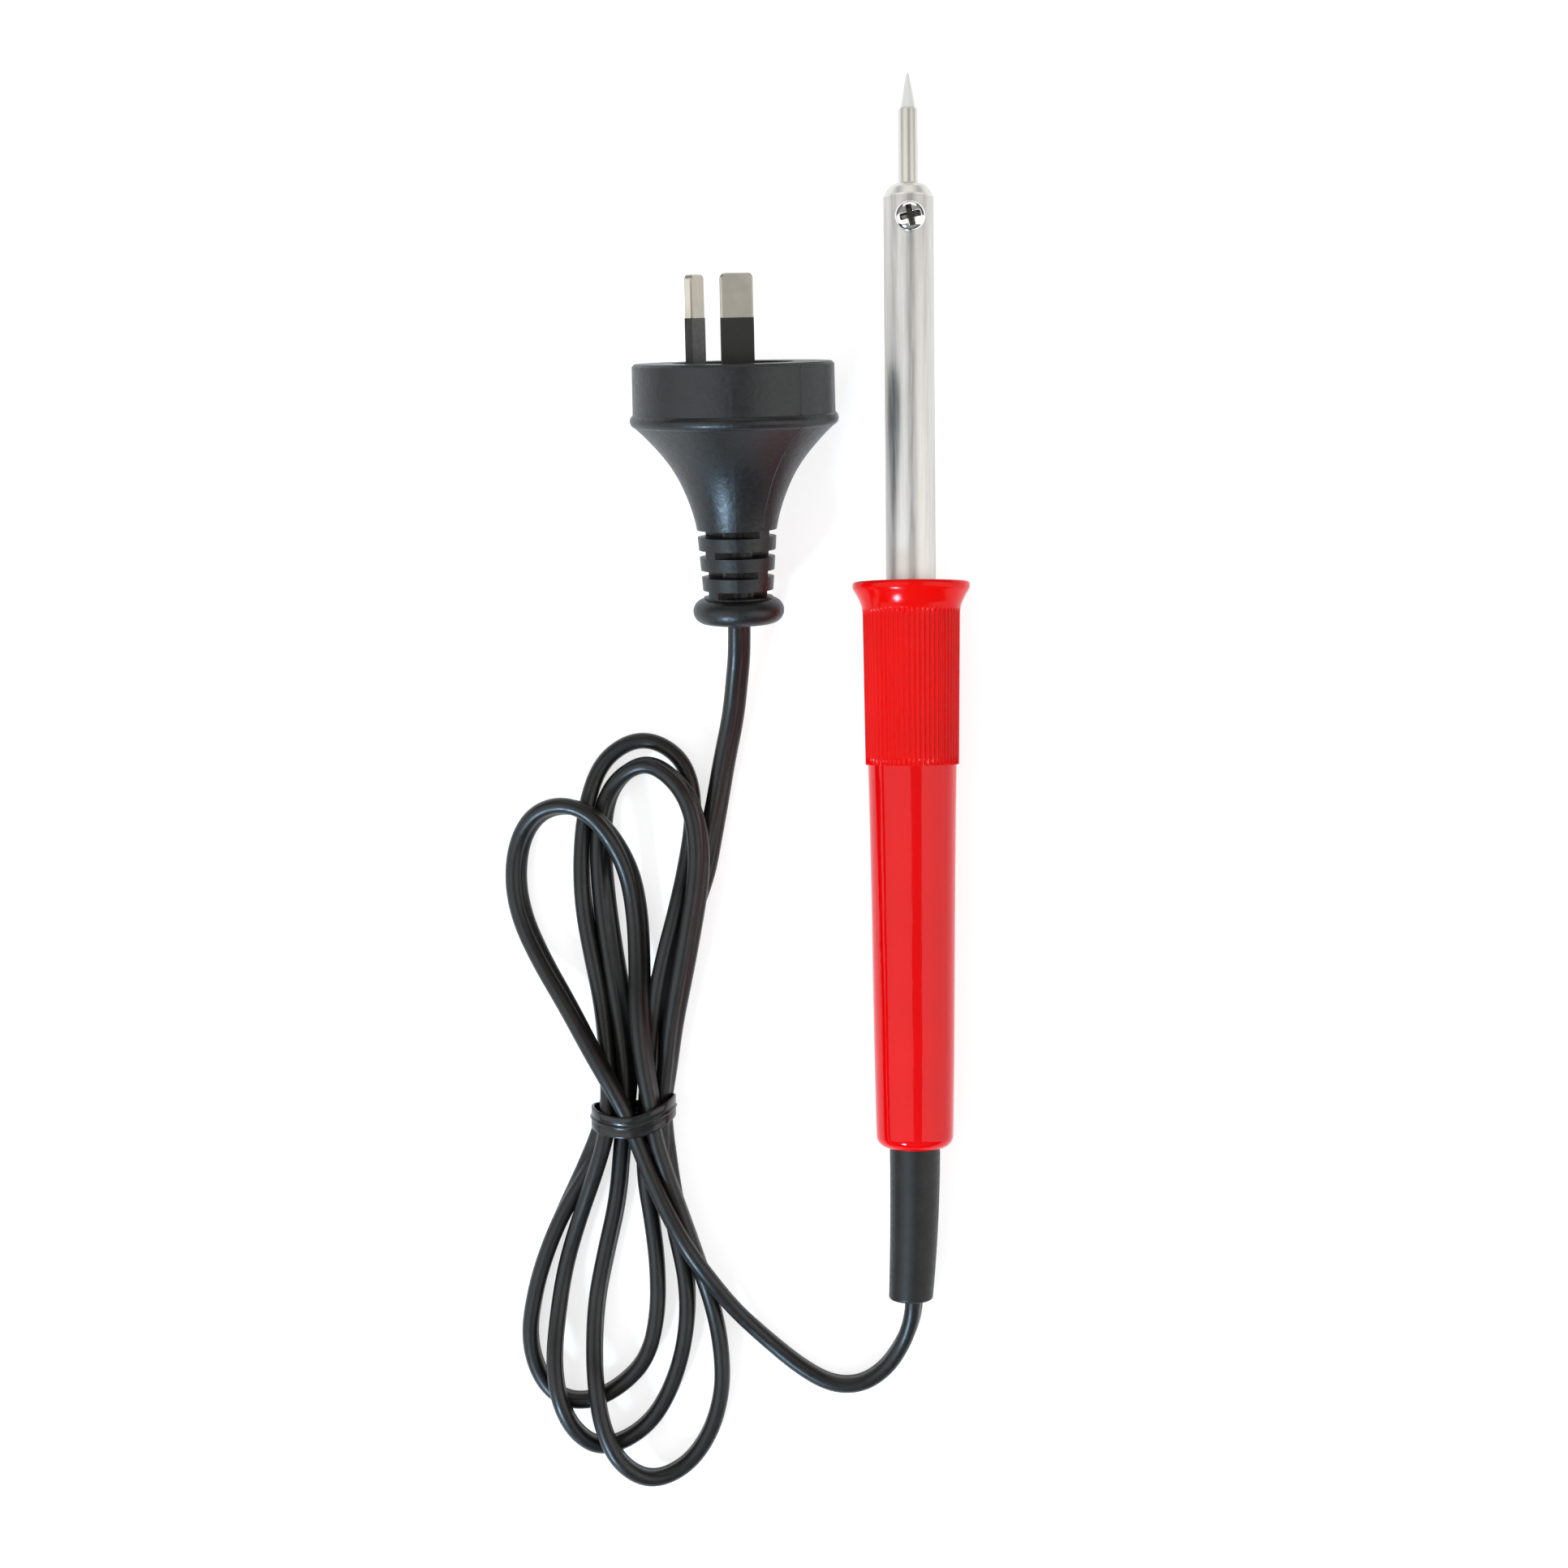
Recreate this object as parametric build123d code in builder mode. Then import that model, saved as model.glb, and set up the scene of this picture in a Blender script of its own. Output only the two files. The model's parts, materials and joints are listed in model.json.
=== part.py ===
from build123d import *
from math import atan2, cos, degrees, pi, radians, sin, tan
import os

# Pencil soldering iron with a mains flex tied in a hank and a two-pin flat-blade plug.
# Millimetres, +Z up, +Y towards the working tip. The origin lies on the bench under the
# middle of the iron. Stations along the iron are measured from the collar's front face,
# positive towards the tip.

# ---- driving dimensions -------------------------------------------------------------
# iron, along its axis
tip_point = 101.0
nose_front = 79.0
barrel_front = 76.2
barrel_rear = -24.0
land_rear = -1.2
grip_rear = -36.6
handle_rear = -113.9
protector_rear = -145.0

# iron, radii
tip_radius = 1.95
cone_length = 7.3
cone_end_length = 0.25
cone_end_radius = 0.35
tip_end_radius = 0.12
tip_rear_chamfer = 0.3
barrel_radius = 5.0
barrel_wall = 0.4
collar_radius = 11.8
handle_rear_radius = 7.8
rear_edge_fillet = 2.4
protector_radius = 5.1
protector_end_radius = 4.45
protector_bend = -1.05  # sideways shift of the protector's free end

# tip clamping screw
screw_station = 71.6
screw_shank_radius = 1.5
screw_head_radius = 3.0
screw_head_underside = 5.6
screw_head_height = 2.1
screw_twist = 13.0
screw_hole_gap = 0.25
screw_tip_gap = 0.1
screw_head_fillet = 1.2
running_clearance = 0.05

# heating element and wiring
lead_offset = 3.3
lead_radius = 0.28
core_offset = 0.95
core_radius = 0.8
conductor_radius = 0.4
sheath_radius = 2.0

# plug
plug_face = Vector(-35.1, 64.5, 22.3)
plug_tilt = 11.1
plug_yaw = 0.66
bead_radius = 20.6
disc_radius = 19.9
disc_depth = 9.9
relief_end = 51.4
pin_circle_radius = 7.92
pin_width = 6.35
pin_thickness = 1.63
pin_length = 17.06
pin_bare_length = 8.4
pin_first_angle = -22.0
pin_spread = 120.0

# flex hank
hank_height = 10.2
hank_corner_radius = 3.0
hank_edge_radius = 1.5
tie_centre = Vector(-56.4, -85.6, 0)
tie_width = 4.5
tie_thickness = 0.8
bundle_width = 15.0
tie_corner_radius = 3.0
bundle_corner_radius = 2.2

# The iron rests on the collar's rim and on the handle's rear edge, so its axis tips nose-up.
rear_contact = handle_rear + rear_edge_fillet
iron_tilt = degrees(atan2(collar_radius - handle_rear_radius, land_rear - rear_contact))
axis_direction = Vector(0, cos(radians(iron_tilt)), sin(radians(iron_tilt)))
collar_height = collar_radius * axis_direction.Y - land_rear * axis_direction.Z
mid_station = (tip_point + protector_rear) / 2
collar_origin = Vector(0, -mid_station * axis_direction.Y, collar_height)

# iron: +z towards the tip, +y up. section: x along the iron, y outwards.
iron = Plane(origin=collar_origin, x_dir=(-1, 0, 0), z_dir=axis_direction)
section = Plane(origin=collar_origin, x_dir=axis_direction, z_dir=(1, 0, 0))
iron_axis = Axis(collar_origin, axis_direction)

# plug: +z out of the face, along the pins, +y up. plug_section: x along the plug.
plug_direction = Vector(
    -sin(radians(plug_yaw)) * cos(radians(plug_tilt)),
    cos(radians(plug_yaw)) * cos(radians(plug_tilt)),
    sin(radians(plug_tilt)),
)
plug_side = Vector(cos(radians(plug_yaw)), sin(radians(plug_yaw)), 0)
plug = Plane(origin=plug_face, x_dir=-plug_side, z_dir=plug_direction)
plug_section = Plane(origin=plug_face, x_dir=plug_direction, z_dir=plug_side)
plug_axis = Axis(plug_face, plug_direction)
cord_end = plug_face - plug_direction * relief_end

os.makedirs("parts", exist_ok=True)


def save(builder, name):
    """Label a finished piece and write it to its own file."""
    builder.part.label = name
    export_step(builder.part, f"parts/{name}.step")


def tube(rear, front, outer_radius, inner_radius=0.0, frame=iron):
    """A plain sleeve or rod between two stations of a frame's own z axis."""
    with BuildPart() as sleeve:
        with BuildSketch(frame.offset(rear)):
            Circle(outer_radius)
            if inner_radius:
                Circle(inner_radius, mode=Mode.SUBTRACT)
        extrude(amount=front - rear)
    return sleeve


def side_pair(rear, front, outer_radius, inner_radius=0.0):
    """Two rods or sleeves, one each side of the iron's axis, at the leads' offset."""
    with BuildPart() as pair:
        with BuildSketch(iron.offset(rear)):
            with GridLocations(2 * lead_offset, 0, 2, 1):
                Circle(outer_radius)
                if inner_radius:
                    Circle(inner_radius, mode=Mode.SUBTRACT)
        extrude(amount=front - rear)
    return pair


def corner_radii(route):
    """The largest arc that each corner's two runs leave room for."""
    radii = []
    for before, corner, after in zip(route, route[1:], route[2:]):
        half_turn = (corner - before).get_angle(after - corner) / 2
        shorter = min((corner - before).length, (after - corner).length)
        radii.append(0.45 * shorter / tan(radians(half_turn)))
    return radii


def cord_tube(name, points):
    """A free stretch of the flex: straight runs joined by tangent arcs."""
    route = [Vector(*point) for point in points]
    radii = corner_radii(route)
    with BuildPart() as cord:
        with BuildLine():
            path = FilletPolyline(*route, radius=radii)
        with BuildSketch(Plane(origin=path @ 0, z_dir=path % 0)):
            Circle(sheath_radius)
        sweep()
    expected = pi * sheath_radius**2 * path.length
    print(name, "radii", [round(radius, 1) for radius in radii])
    print(name, f"volume {cord.part.volume:.1f}, section times length {expected:.1f}")
    return cord


# ---- tip, its screw and the nose ----------------------------------------------------
tip_rear = 30.0
with BuildPart() as tip:
    with BuildSketch(section):
        with BuildLine():
            Polyline(
                (tip_rear, 0),
                (tip_rear, tip_radius - tip_rear_chamfer),
                (tip_rear + tip_rear_chamfer, tip_radius),
                (tip_point - cone_length, tip_radius),
                (tip_point - cone_end_length, cone_end_radius),
                (tip_point, tip_end_radius),
                (tip_point, 0),
                close=True,
            )
        make_face()
    revolve(axis=iron_axis)
save(tip, "tip")

screw_seat = Plane(
    origin=iron.origin + iron.z_dir * screw_station, x_dir=iron.x_dir, z_dir=iron.y_dir
)
screw_bottom = tip_radius + screw_tip_gap
recess_depth = 1.2
recess_length = 4.2
recess_width = 1.1
with BuildPart() as tip_screw:
    with BuildSketch(screw_seat.offset(screw_bottom)):
        Circle(screw_shank_radius)
    extrude(amount=screw_head_underside - screw_bottom)
    with BuildSketch(screw_seat.offset(screw_head_underside)):
        Circle(screw_head_radius)
    extrude(amount=screw_head_height)
    head_rim = tip_screw.edges().filter_by(GeomType.CIRCLE)
    head_rim = head_rim.group_by(Axis(screw_seat.origin, screw_seat.z_dir))[-1]
    fillet(head_rim, radius=screw_head_fillet)
    with BuildSketch(screw_seat.offset(screw_head_underside + screw_head_height)):
        with Locations(Rotation(0, 0, screw_twist)):
            Rectangle(recess_length, recess_width)
            Rectangle(recess_width, recess_length)
    extrude(amount=-recess_depth, mode=Mode.SUBTRACT)
save(tip_screw, "tip_screw")

nose_seat = 64.0
dome_length = 1.0
bevel_radius = 4.2
nose_face_radius = 2.8
barrel_step = 0.3
nose_bore_radius = tip_radius + running_clearance
spigot_radius = barrel_radius - barrel_wall
with BuildPart() as nose_bush:
    with BuildSketch(section):
        with BuildLine():
            rear_step = Polyline(
                (nose_front, nose_bore_radius),
                (nose_seat, nose_bore_radius),
                (nose_seat, spigot_radius),
                (barrel_front, spigot_radius),
                (barrel_front, barrel_radius),
                (barrel_front + barrel_step, barrel_radius),
            )
            bevel = Line(rear_step @ 1, (nose_front - dome_length, bevel_radius))
            dome = TangentArc(bevel @ 1, (nose_front, nose_face_radius), tangent=(1.1, -0.9))
            Line(dome @ 1, rear_step @ 0)
        make_face()
    revolve(axis=iron_axis)
    with BuildSketch(screw_seat):
        Circle(screw_shank_radius + running_clearance)
    extrude(amount=barrel_radius, mode=Mode.SUBTRACT)
save(nose_bush, "nose_bush")

with BuildPart() as barrel:
    with BuildSketch(iron.offset(barrel_rear)):
        Circle(barrel_radius)
        Circle(spigot_radius, mode=Mode.SUBTRACT)
    extrude(amount=barrel_front - barrel_rear)
    with BuildSketch(screw_seat):
        Circle(screw_shank_radius + screw_hole_gap)
    extrude(amount=barrel_radius + 1, mode=Mode.SUBTRACT)
save(barrel, "barrel")

# ---- heating element ----------------------------------------------------------------
bit_tube_rear = 14.0
bit_tube_radius = 2.5
bit_tube_bore = nose_bore_radius + 0.02
former_radius = 3.0
former_overhang = 2.0
wire_radius = 0.3
coil_rear = 19.0
coil_front = 59.0
coil_pitch = 1.0
former_rear = coil_rear - former_overhang
former_front = coil_front + former_overhang
mica_rear = former_rear - 1.0
mica_front = former_front + 2.0
mica_bore = 3.7
mica_gap = 0.1
save(tube(bit_tube_rear, nose_seat, bit_tube_radius, bit_tube_bore), "bit_tube")
save(tube(former_rear, former_front, former_radius, bit_tube_radius), "element_former")

# The winding is a thin foil-like layer with one rounded ridge for each turn.
with BuildPart() as heating_coil:
    with BuildSketch(section):
        with Locations(((coil_rear + coil_front) / 2, former_radius + wire_radius / 2)):
            Rectangle(coil_front - coil_rear, wire_radius)
        turns = int((coil_front - coil_rear) / coil_pitch) - 1
        ridge_centre = ((coil_rear + coil_front) / 2, former_radius + wire_radius)
        with Locations(ridge_centre):
            with GridLocations(coil_pitch, 0, turns, 1):
                Circle(wire_radius)
    revolve(axis=iron_axis)
save(heating_coil, "heating_coil")

save(tube(mica_rear, mica_front, spigot_radius - mica_gap, mica_bore), "element_sleeve")

insulator_rear = -14.0
insulator_front = -4.0
insulator_hole = 0.75
with BuildPart() as rear_insulator:
    with BuildSketch(iron.offset(insulator_rear)):
        Circle(spigot_radius)
        with GridLocations(2 * lead_offset, 0, 2, 1):
            Circle(insulator_hole, mode=Mode.SUBTRACT)
    extrude(amount=insulator_front - insulator_rear)
save(rear_insulator, "rear_insulator")

crimp_rear = -42.0
crimp_front = -32.0
crimp_radius = 1.1
lead_rear = -36.0
conductor_depth = 4.0
sleeve_rear = -30.0
sleeve_end = 12.0
sleeve_radius = 0.7
save(side_pair(lead_rear, coil_rear, lead_radius), "element_leads")
save(side_pair(sleeve_rear, sleeve_end, sleeve_radius, lead_radius), "lead_sleeves")

with BuildPart() as lead_crimps:
    with BuildSketch(iron.offset(crimp_rear)):
        with GridLocations(2 * lead_offset, 0, 2, 1):
            Circle(crimp_radius)
    extrude(amount=crimp_front - crimp_rear)
    with BuildSketch(iron.offset(crimp_front)):
        with GridLocations(2 * lead_offset, 0, 2, 1):
            Circle(lead_radius)
    extrude(amount=lead_rear - crimp_front, mode=Mode.SUBTRACT)
    with BuildSketch(iron.offset(crimp_rear)):
        with GridLocations(2 * lead_offset, 0, 2, 1):
            Circle(conductor_radius)
    extrude(amount=conductor_depth, mode=Mode.SUBTRACT)
save(lead_crimps, "lead_crimps")

# ---- grip sleeve, handle and what holds the barrel in them --------------------------
bush_front = -3.0
bush_rear = -18.0
bush_radius = 7.6
handle_bore_radius = 6.3
collar_bore_radius = barrel_radius + 0.15
clip_thickness = 1.0
clip_radius = handle_bore_radius - 0.1
rim_chamfer = 0.3
with BuildPart() as grip_sleeve:
    with BuildSketch(section):
        with BuildLine():
            front = Line((0, collar_bore_radius), (0, collar_radius - rim_chamfer))
            rim = Polyline(front @ 1, (-rim_chamfer, collar_radius), (land_rear, collar_radius))
            flare = Spline(
                rim @ 1,
                (-2.8, 11.0),
                (-4.4, 10.15),
                (-6.2, 9.76),
                tangents=((-1, 0), (-1, -0.02)),
            )
            Polyline(
                flare @ 1,
                (grip_rear, 9.4),
                (grip_rear, bush_radius),
                (bush_front, bush_radius),
                (bush_front, collar_bore_radius),
                (0, collar_bore_radius),
            )
        make_face()
    revolve(axis=iron_axis)
save(grip_sleeve, "grip_sleeve")

save(tube(bush_rear, bush_front, bush_radius, barrel_radius), "barrel_bush")
save(tube(bush_rear - clip_thickness, bush_rear, clip_radius, barrel_radius), "barrel_clip")

handle_wall = 2.5
flange_radius = 6.2
handle_hole_radius = protector_radius + 0.05
with BuildPart() as handle:
    with BuildSketch(section):
        with BuildLine():
            skin = Spline((grip_rear, 8.95), (-62.0, 8.5), (-95.0, 8.1), (rear_contact, handle_rear_radius))
            corner = TangentArc(
                skin @ 1, (handle_rear, handle_rear_radius - rear_edge_fillet), tangent=skin % 1
            )
            Polyline(
                corner @ 1,
                (handle_rear, handle_hole_radius),
                (handle_rear + handle_wall, handle_hole_radius),
                (handle_rear + handle_wall, handle_bore_radius),
                (bush_rear, handle_bore_radius),
                (bush_rear, bush_radius),
                (grip_rear, bush_radius),
                skin @ 0,
            )
        make_face()
    revolve(axis=iron_axis)
save(handle, "handle")

# ---- cord protector and the flex inside the handle ----------------------------------
flange_rear = handle_rear + handle_wall
flange_front = flange_rear + 2.0
protector_bore = sheath_radius + 0.1
protector_mouth_radius = 3.2
protector_end_fillet = 0.7
bend_mid = (handle_rear + protector_rear) / 2
bend_mid_radius = (protector_radius + protector_end_radius) / 2 + 0.1
with BuildPart() as flex_protector:
    with BuildSketch(iron.offset(flange_rear)):
        Circle(flange_radius)
    extrude(amount=flange_front - flange_rear)
    with BuildSketch(iron.offset(handle_rear)):
        Circle(protector_radius)
    extrude(amount=flange_rear - handle_rear)
    with BuildSketch(iron.offset(handle_rear)):
        Circle(protector_radius)
    with BuildSketch(iron.offset(bend_mid)):
        with Locations((-protector_bend / 4, 0)):
            Circle(bend_mid_radius)
    with BuildSketch(iron.offset(protector_rear)):
        with Locations((-protector_bend, 0)):
            Circle(protector_end_radius)
    loft()
    free_end = flex_protector.faces().sort_by(Axis(iron.origin, iron.z_dir))[0]
    fillet(free_end.edges(), radius=protector_end_fillet)
    with BuildSketch(iron.offset(flange_front)):
        Circle(protector_bore)
    extrude(amount=bend_mid - flange_front, mode=Mode.SUBTRACT)
    with BuildSketch(iron.offset(bend_mid)):
        Circle(protector_bore)
    with BuildSketch(iron.offset(protector_rear)):
        with Locations((-protector_bend, 0)):
            Circle(protector_mouth_radius)
    loft(mode=Mode.SUBTRACT)
save(flex_protector, "flex_protector")

sheath_front = -88.0
save(tube(protector_rear, sheath_front, sheath_radius), "cord_tail")
grip_ring_length = 5.0
grip_ring_radius = sheath_radius + 1.2
ring_front = flange_front + grip_ring_length
save(tube(flange_front, ring_front, grip_ring_radius, sheath_radius), "cord_grip_ring")

bare_end = 1.0
core_bend_radius = 25.0
spread_front = crimp_rear - 16.0
spread_rear = sheath_front + 14.0
core_ends = [crimp_rear - bare_end, spread_front, spread_rear, sheath_front]
core_sides = [lead_offset, lead_offset, core_offset, core_offset]
with BuildPart() as flex_cores:
    for side in (1, -1):
        corners = [
            iron.from_local_coords(Vector(side * offset, 0, station))
            for offset, station in zip(core_sides, core_ends)
        ]
        with BuildLine() as core_path:
            FilletPolyline(*corners, radius=core_bend_radius)
        with BuildSketch(Plane(origin=corners[0], z_dir=core_path.line % 0)):
            Circle(core_radius)
        sweep()
        with BuildSketch(Plane(origin=corners[0], z_dir=iron.z_dir)):
            Circle(conductor_radius)
        extrude(amount=bare_end + conductor_depth)
save(flex_cores, "flex_cores")

# ---- plug ---------------------------------------------------------------------------
core_front = -1.8
core_step = -7.0
core_neck = -22.0
neck_radius = 3.0
inner_core_radius = 12.0
flex_bore_radius = sheath_radius + 0.1
face_recess_radius = 12.0
face_recess_depth = 0.8
face_chamfer = 0.5
rim_draft = 0.1
slot_width = 1.4
slot_pitch = 4.0
first_slot = -33.4
post_width = 2.6
slot_floor_radius = 3.0
inner_core_outline = [
    (core_front, 0),
    (core_front, inner_core_radius),
    (core_step, inner_core_radius),
    (core_neck, neck_radius),
]

with BuildPart() as plug_body:
    with BuildSketch(plug_section):
        with BuildLine():
            face = Line((0, 0), (0, disc_radius - face_chamfer))
            edge = Line(face @ 1, (-face_chamfer, disc_radius))
            rim = Line(edge @ 1, (-disc_depth, disc_radius + rim_draft))
            bead = ThreePointArc(rim @ 1, (-11.2, bead_radius), (-12.4, disc_radius - 0.2))
            flare = Spline(
                bead @ 1,
                (-16.0, 16.1),
                (-20.8, 12.4),
                (-26.4, 9.7),
                (-32.7, 7.95),
                tangents=((-1, -1.15), (-1, -0.18)),
            )
            neck = Line(flare @ 1, (-46.4, 6.9))
            collar = ThreePointArc(neck @ 1, (-48.9, 9.1), (-relief_end, 7.0))
            Polyline(collar @ 1, (-relief_end, 0), (0, 0))
        make_face()
    revolve(axis=plug_axis)
    # moulded seat for the inner core and the flex
    with BuildSketch(plug_section):
        with BuildLine():
            Polyline(
                *inner_core_outline,
                (core_neck, flex_bore_radius),
                (-relief_end, flex_bore_radius),
                (-relief_end, 0),
                close=True,
            )
        make_face()
    revolve(axis=plug_axis, mode=Mode.SUBTRACT)
    with BuildSketch(plug):
        Circle(face_recess_radius)
    extrude(amount=-face_recess_depth, mode=Mode.SUBTRACT)
    # flexing slots, each broken by two posts, a quarter turn on from the slot before
    for index in range(4):
        station = first_slot - index * slot_pitch
        post_angle = 135 if index % 2 == 0 else 45
        with BuildSketch(plug.offset(station)):
            Circle(disc_radius / 2)
            Circle(slot_floor_radius, mode=Mode.SUBTRACT)
            with Locations(Rotation(0, 0, post_angle)):
                Rectangle(disc_radius, post_width, mode=Mode.SUBTRACT)
        extrude(amount=slot_width / 2, both=True, mode=Mode.SUBTRACT)
    # the pins' windows in the face
    with BuildSketch(plug):
        with PolarLocations(pin_circle_radius, 2, pin_first_angle, pin_spread, endpoint=True):
            Rectangle(pin_thickness, pin_width)
    extrude(amount=core_front, mode=Mode.SUBTRACT)
save(plug_body, "plug_body")

pin_root = -8.0
pin_corner_radius = 1.0
pin_chamfer = 0.3
sleeve_front = pin_length - pin_bare_length
blade_neck_width = pin_width - 0.8
blade_neck_thickness = pin_thickness - 0.7
with BuildPart() as plug_pins:
    with BuildSketch(plug.offset(pin_root)):
        with PolarLocations(pin_circle_radius, 2, pin_first_angle, pin_spread, endpoint=True):
            Rectangle(blade_neck_thickness, blade_neck_width)
    extrude(amount=sleeve_front - pin_root)
    with BuildSketch(plug.offset(sleeve_front)):
        with PolarLocations(pin_circle_radius, 2, pin_first_angle, pin_spread, endpoint=True):
            Rectangle(pin_thickness, pin_width)
    extrude(amount=pin_bare_length)
    end_edges = plug_pins.edges().group_by(plug_axis)[-1]
    fillet(end_edges.filter_by(lambda edge: edge.length < pin_width / 2), radius=pin_corner_radius)
    end_edges = plug_pins.edges().group_by(plug_axis)[-1]
    chamfer(end_edges.filter_by(lambda edge: edge.length > pin_width / 2), length=pin_chamfer)
save(plug_pins, "plug_pins")

with BuildPart() as pin_sleeves:
    with BuildSketch(plug.offset(core_front)):
        with PolarLocations(pin_circle_radius, 2, pin_first_angle, pin_spread, endpoint=True):
            Rectangle(pin_thickness, pin_width)
            Rectangle(blade_neck_thickness, blade_neck_width, mode=Mode.SUBTRACT)
    extrude(amount=sleeve_front - core_front)
save(pin_sleeves, "pin_sleeves")

core_straight = 2.5
plug_core_bend = 2.5
pin_directions = [radians(pin_first_angle), radians(pin_first_angle + pin_spread)]
with BuildPart() as plug_cores:
    for direction, side in zip(pin_directions, (1, -1)):
        pin_x = pin_circle_radius * cos(direction)
        pin_y = pin_circle_radius * sin(direction)
        corners = [
            plug.from_local_coords(Vector(pin_x, pin_y, pin_root)),
            plug.from_local_coords(Vector(pin_x, pin_y, pin_root - core_straight)),
            plug.from_local_coords(Vector(side * core_offset, 0, core_neck + core_straight)),
            plug.from_local_coords(Vector(side * core_offset, 0, core_neck)),
        ]
        with BuildLine() as core_path:
            FilletPolyline(*corners, radius=plug_core_bend)
        with BuildSketch(Plane(origin=corners[0], z_dir=-plug_direction)):
            Circle(core_radius)
        sweep()

with BuildPart() as plug_bridge:
    with BuildSketch(plug_section):
        with BuildLine():
            Polyline(*inner_core_outline, (core_neck, 0), close=True)
        make_face()
    revolve(axis=plug_axis)
    with BuildSketch(plug.offset(pin_root)):
        with PolarLocations(pin_circle_radius, 2, pin_first_angle, pin_spread, endpoint=True):
            Rectangle(blade_neck_thickness, blade_neck_width)
    extrude(amount=core_front - pin_root, mode=Mode.SUBTRACT)
    add(plug_cores.part, mode=Mode.SUBTRACT)
save(plug_bridge, "plug_bridge")
save(plug_cores, "plug_cores")

save(tube(-relief_end, core_neck, sheath_radius, frame=plug), "plug_cord_tail")

# ---- flex outside the iron and the plug ---------------------------------------------
flex_exit = iron.from_local_coords(Vector(0, 0, protector_rear))
iron_run_route = [
    tuple(flex_exit),
    (-0.6, -128.5, 5.2),
    (-2.8, -135.0, 3.2),
    (-7.8, -140.6, 2.4),
    (-15.5, -142.0, 2.5),
    (-23.5, -138.2, 2.4),
    (-31.5, -131.5, 3.0),
    (-38.5, -123.5, 4.6),
]
cord_iron_run = cord_tube("cord_iron_run", iron_run_route)
save(cord_iron_run, "cord_iron_run")

plug_run_route = [
    (-44.5, -41.5, 3.0),
    (-41.6, -32.5, 2.6),
    (-40.4, -22.5, 2.5),
    (-38.4, -12.5, 3.2),
    (-36.4, -3.0, 5.6),
    (-35.0, 5.5, 9.7),
    tuple(cord_end),
]
cord_plug_run = cord_tube("cord_plug_run", plug_run_route)
save(cord_plug_run, "cord_plug_run")

# The hank: three loops above the tie and three bights below it, as one flat closed form.
hank_outline = [
    (-64.0, -85.0),
    (-66.6, -73.0),
    (-76.5, -51.5),
    (-82.5, -38.0),
    (-79.5, -24.0),
    (-68.5, -19.0),
    (-62.0, -9.0),
    (-52.5, -6.5),
    (-43.5, -12.5),
    (-40.8, -32.0),
    (-45.0, -60.0),
    (-48.4, -85.0),
    (-45.0, -101.5),
    (-37.5, -126.0),
    (-37.5, -143.0),
    (-43.0, -157.0),
    (-53.5, -162.0),
    (-63.0, -156.0),
    (-75.0, -147.0),
    (-81.0, -132.0),
    (-75.5, -108.0),
]
with BuildPart() as cord_hank:
    with BuildSketch(Plane.XY):
        with BuildLine():
            FilletPolyline(*hank_outline, radius=hank_corner_radius, close=True)
        make_face()
    extrude(amount=hank_height)
    hank_top = cord_hank.faces().filter_by(Axis.Z).sort_by(Axis.Z)[-1]
    fillet(hank_top.edges(), radius=hank_edge_radius)
save(cord_hank, "cord_hank")

tie_rear = tie_centre - Vector(0, tie_width / 2, 0)
tie_plane = Plane(origin=tie_rear, x_dir=(1, 0, 0), z_dir=(0, -1, 0))
tie_height = hank_height + 2 * tie_thickness
with BuildPart() as cord_tie:
    with BuildSketch(tie_plane):
        with Locations((0, tie_height / 2)):
            RectangleRounded(bundle_width + 2 * tie_thickness, tie_height, tie_corner_radius)
            RectangleRounded(bundle_width, hank_height, bundle_corner_radius, mode=Mode.SUBTRACT)
    extrude(amount=-tie_width)
save(cord_tie, "cord_tie")

print(f"iron tilt {iron_tilt:.2f} degrees, collar centre {collar_origin}")
print(f"flex exit {flex_exit}, flex end at the plug {cord_end}")
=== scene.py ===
"""The looks of a mains pencil soldering iron with its tied flex and flat-blade plug.

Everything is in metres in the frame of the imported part. The iron's own frame has its origin at
the middle of the collar's front face, and the plug's at the middle of its flat face: in both,
z runs along the piece (towards the tip, and along the blades) and y is up.
"""

import json
import math

import bpy
from mathutils import Matrix, Vector

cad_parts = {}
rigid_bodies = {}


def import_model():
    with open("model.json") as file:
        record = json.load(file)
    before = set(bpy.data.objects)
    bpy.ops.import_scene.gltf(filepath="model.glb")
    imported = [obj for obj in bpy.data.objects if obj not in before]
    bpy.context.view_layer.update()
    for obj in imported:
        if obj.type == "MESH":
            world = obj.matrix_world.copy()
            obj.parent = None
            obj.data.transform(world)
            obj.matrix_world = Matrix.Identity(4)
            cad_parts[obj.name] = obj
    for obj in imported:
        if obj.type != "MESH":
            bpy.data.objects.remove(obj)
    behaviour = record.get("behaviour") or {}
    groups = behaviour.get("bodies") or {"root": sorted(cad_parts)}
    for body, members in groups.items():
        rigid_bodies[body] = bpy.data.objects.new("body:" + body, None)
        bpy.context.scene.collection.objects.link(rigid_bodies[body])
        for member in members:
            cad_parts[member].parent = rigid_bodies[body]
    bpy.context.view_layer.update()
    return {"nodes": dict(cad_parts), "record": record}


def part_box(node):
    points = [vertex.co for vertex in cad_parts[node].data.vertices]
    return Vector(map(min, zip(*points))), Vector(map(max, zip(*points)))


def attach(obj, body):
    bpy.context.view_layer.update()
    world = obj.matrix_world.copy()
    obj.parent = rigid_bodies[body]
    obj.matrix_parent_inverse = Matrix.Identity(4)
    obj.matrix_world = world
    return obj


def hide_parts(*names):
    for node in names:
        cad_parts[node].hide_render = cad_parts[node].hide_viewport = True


for leftover in list(bpy.data.objects):
    bpy.data.objects.remove(leftover)
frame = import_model()
scene = bpy.context.scene

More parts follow.
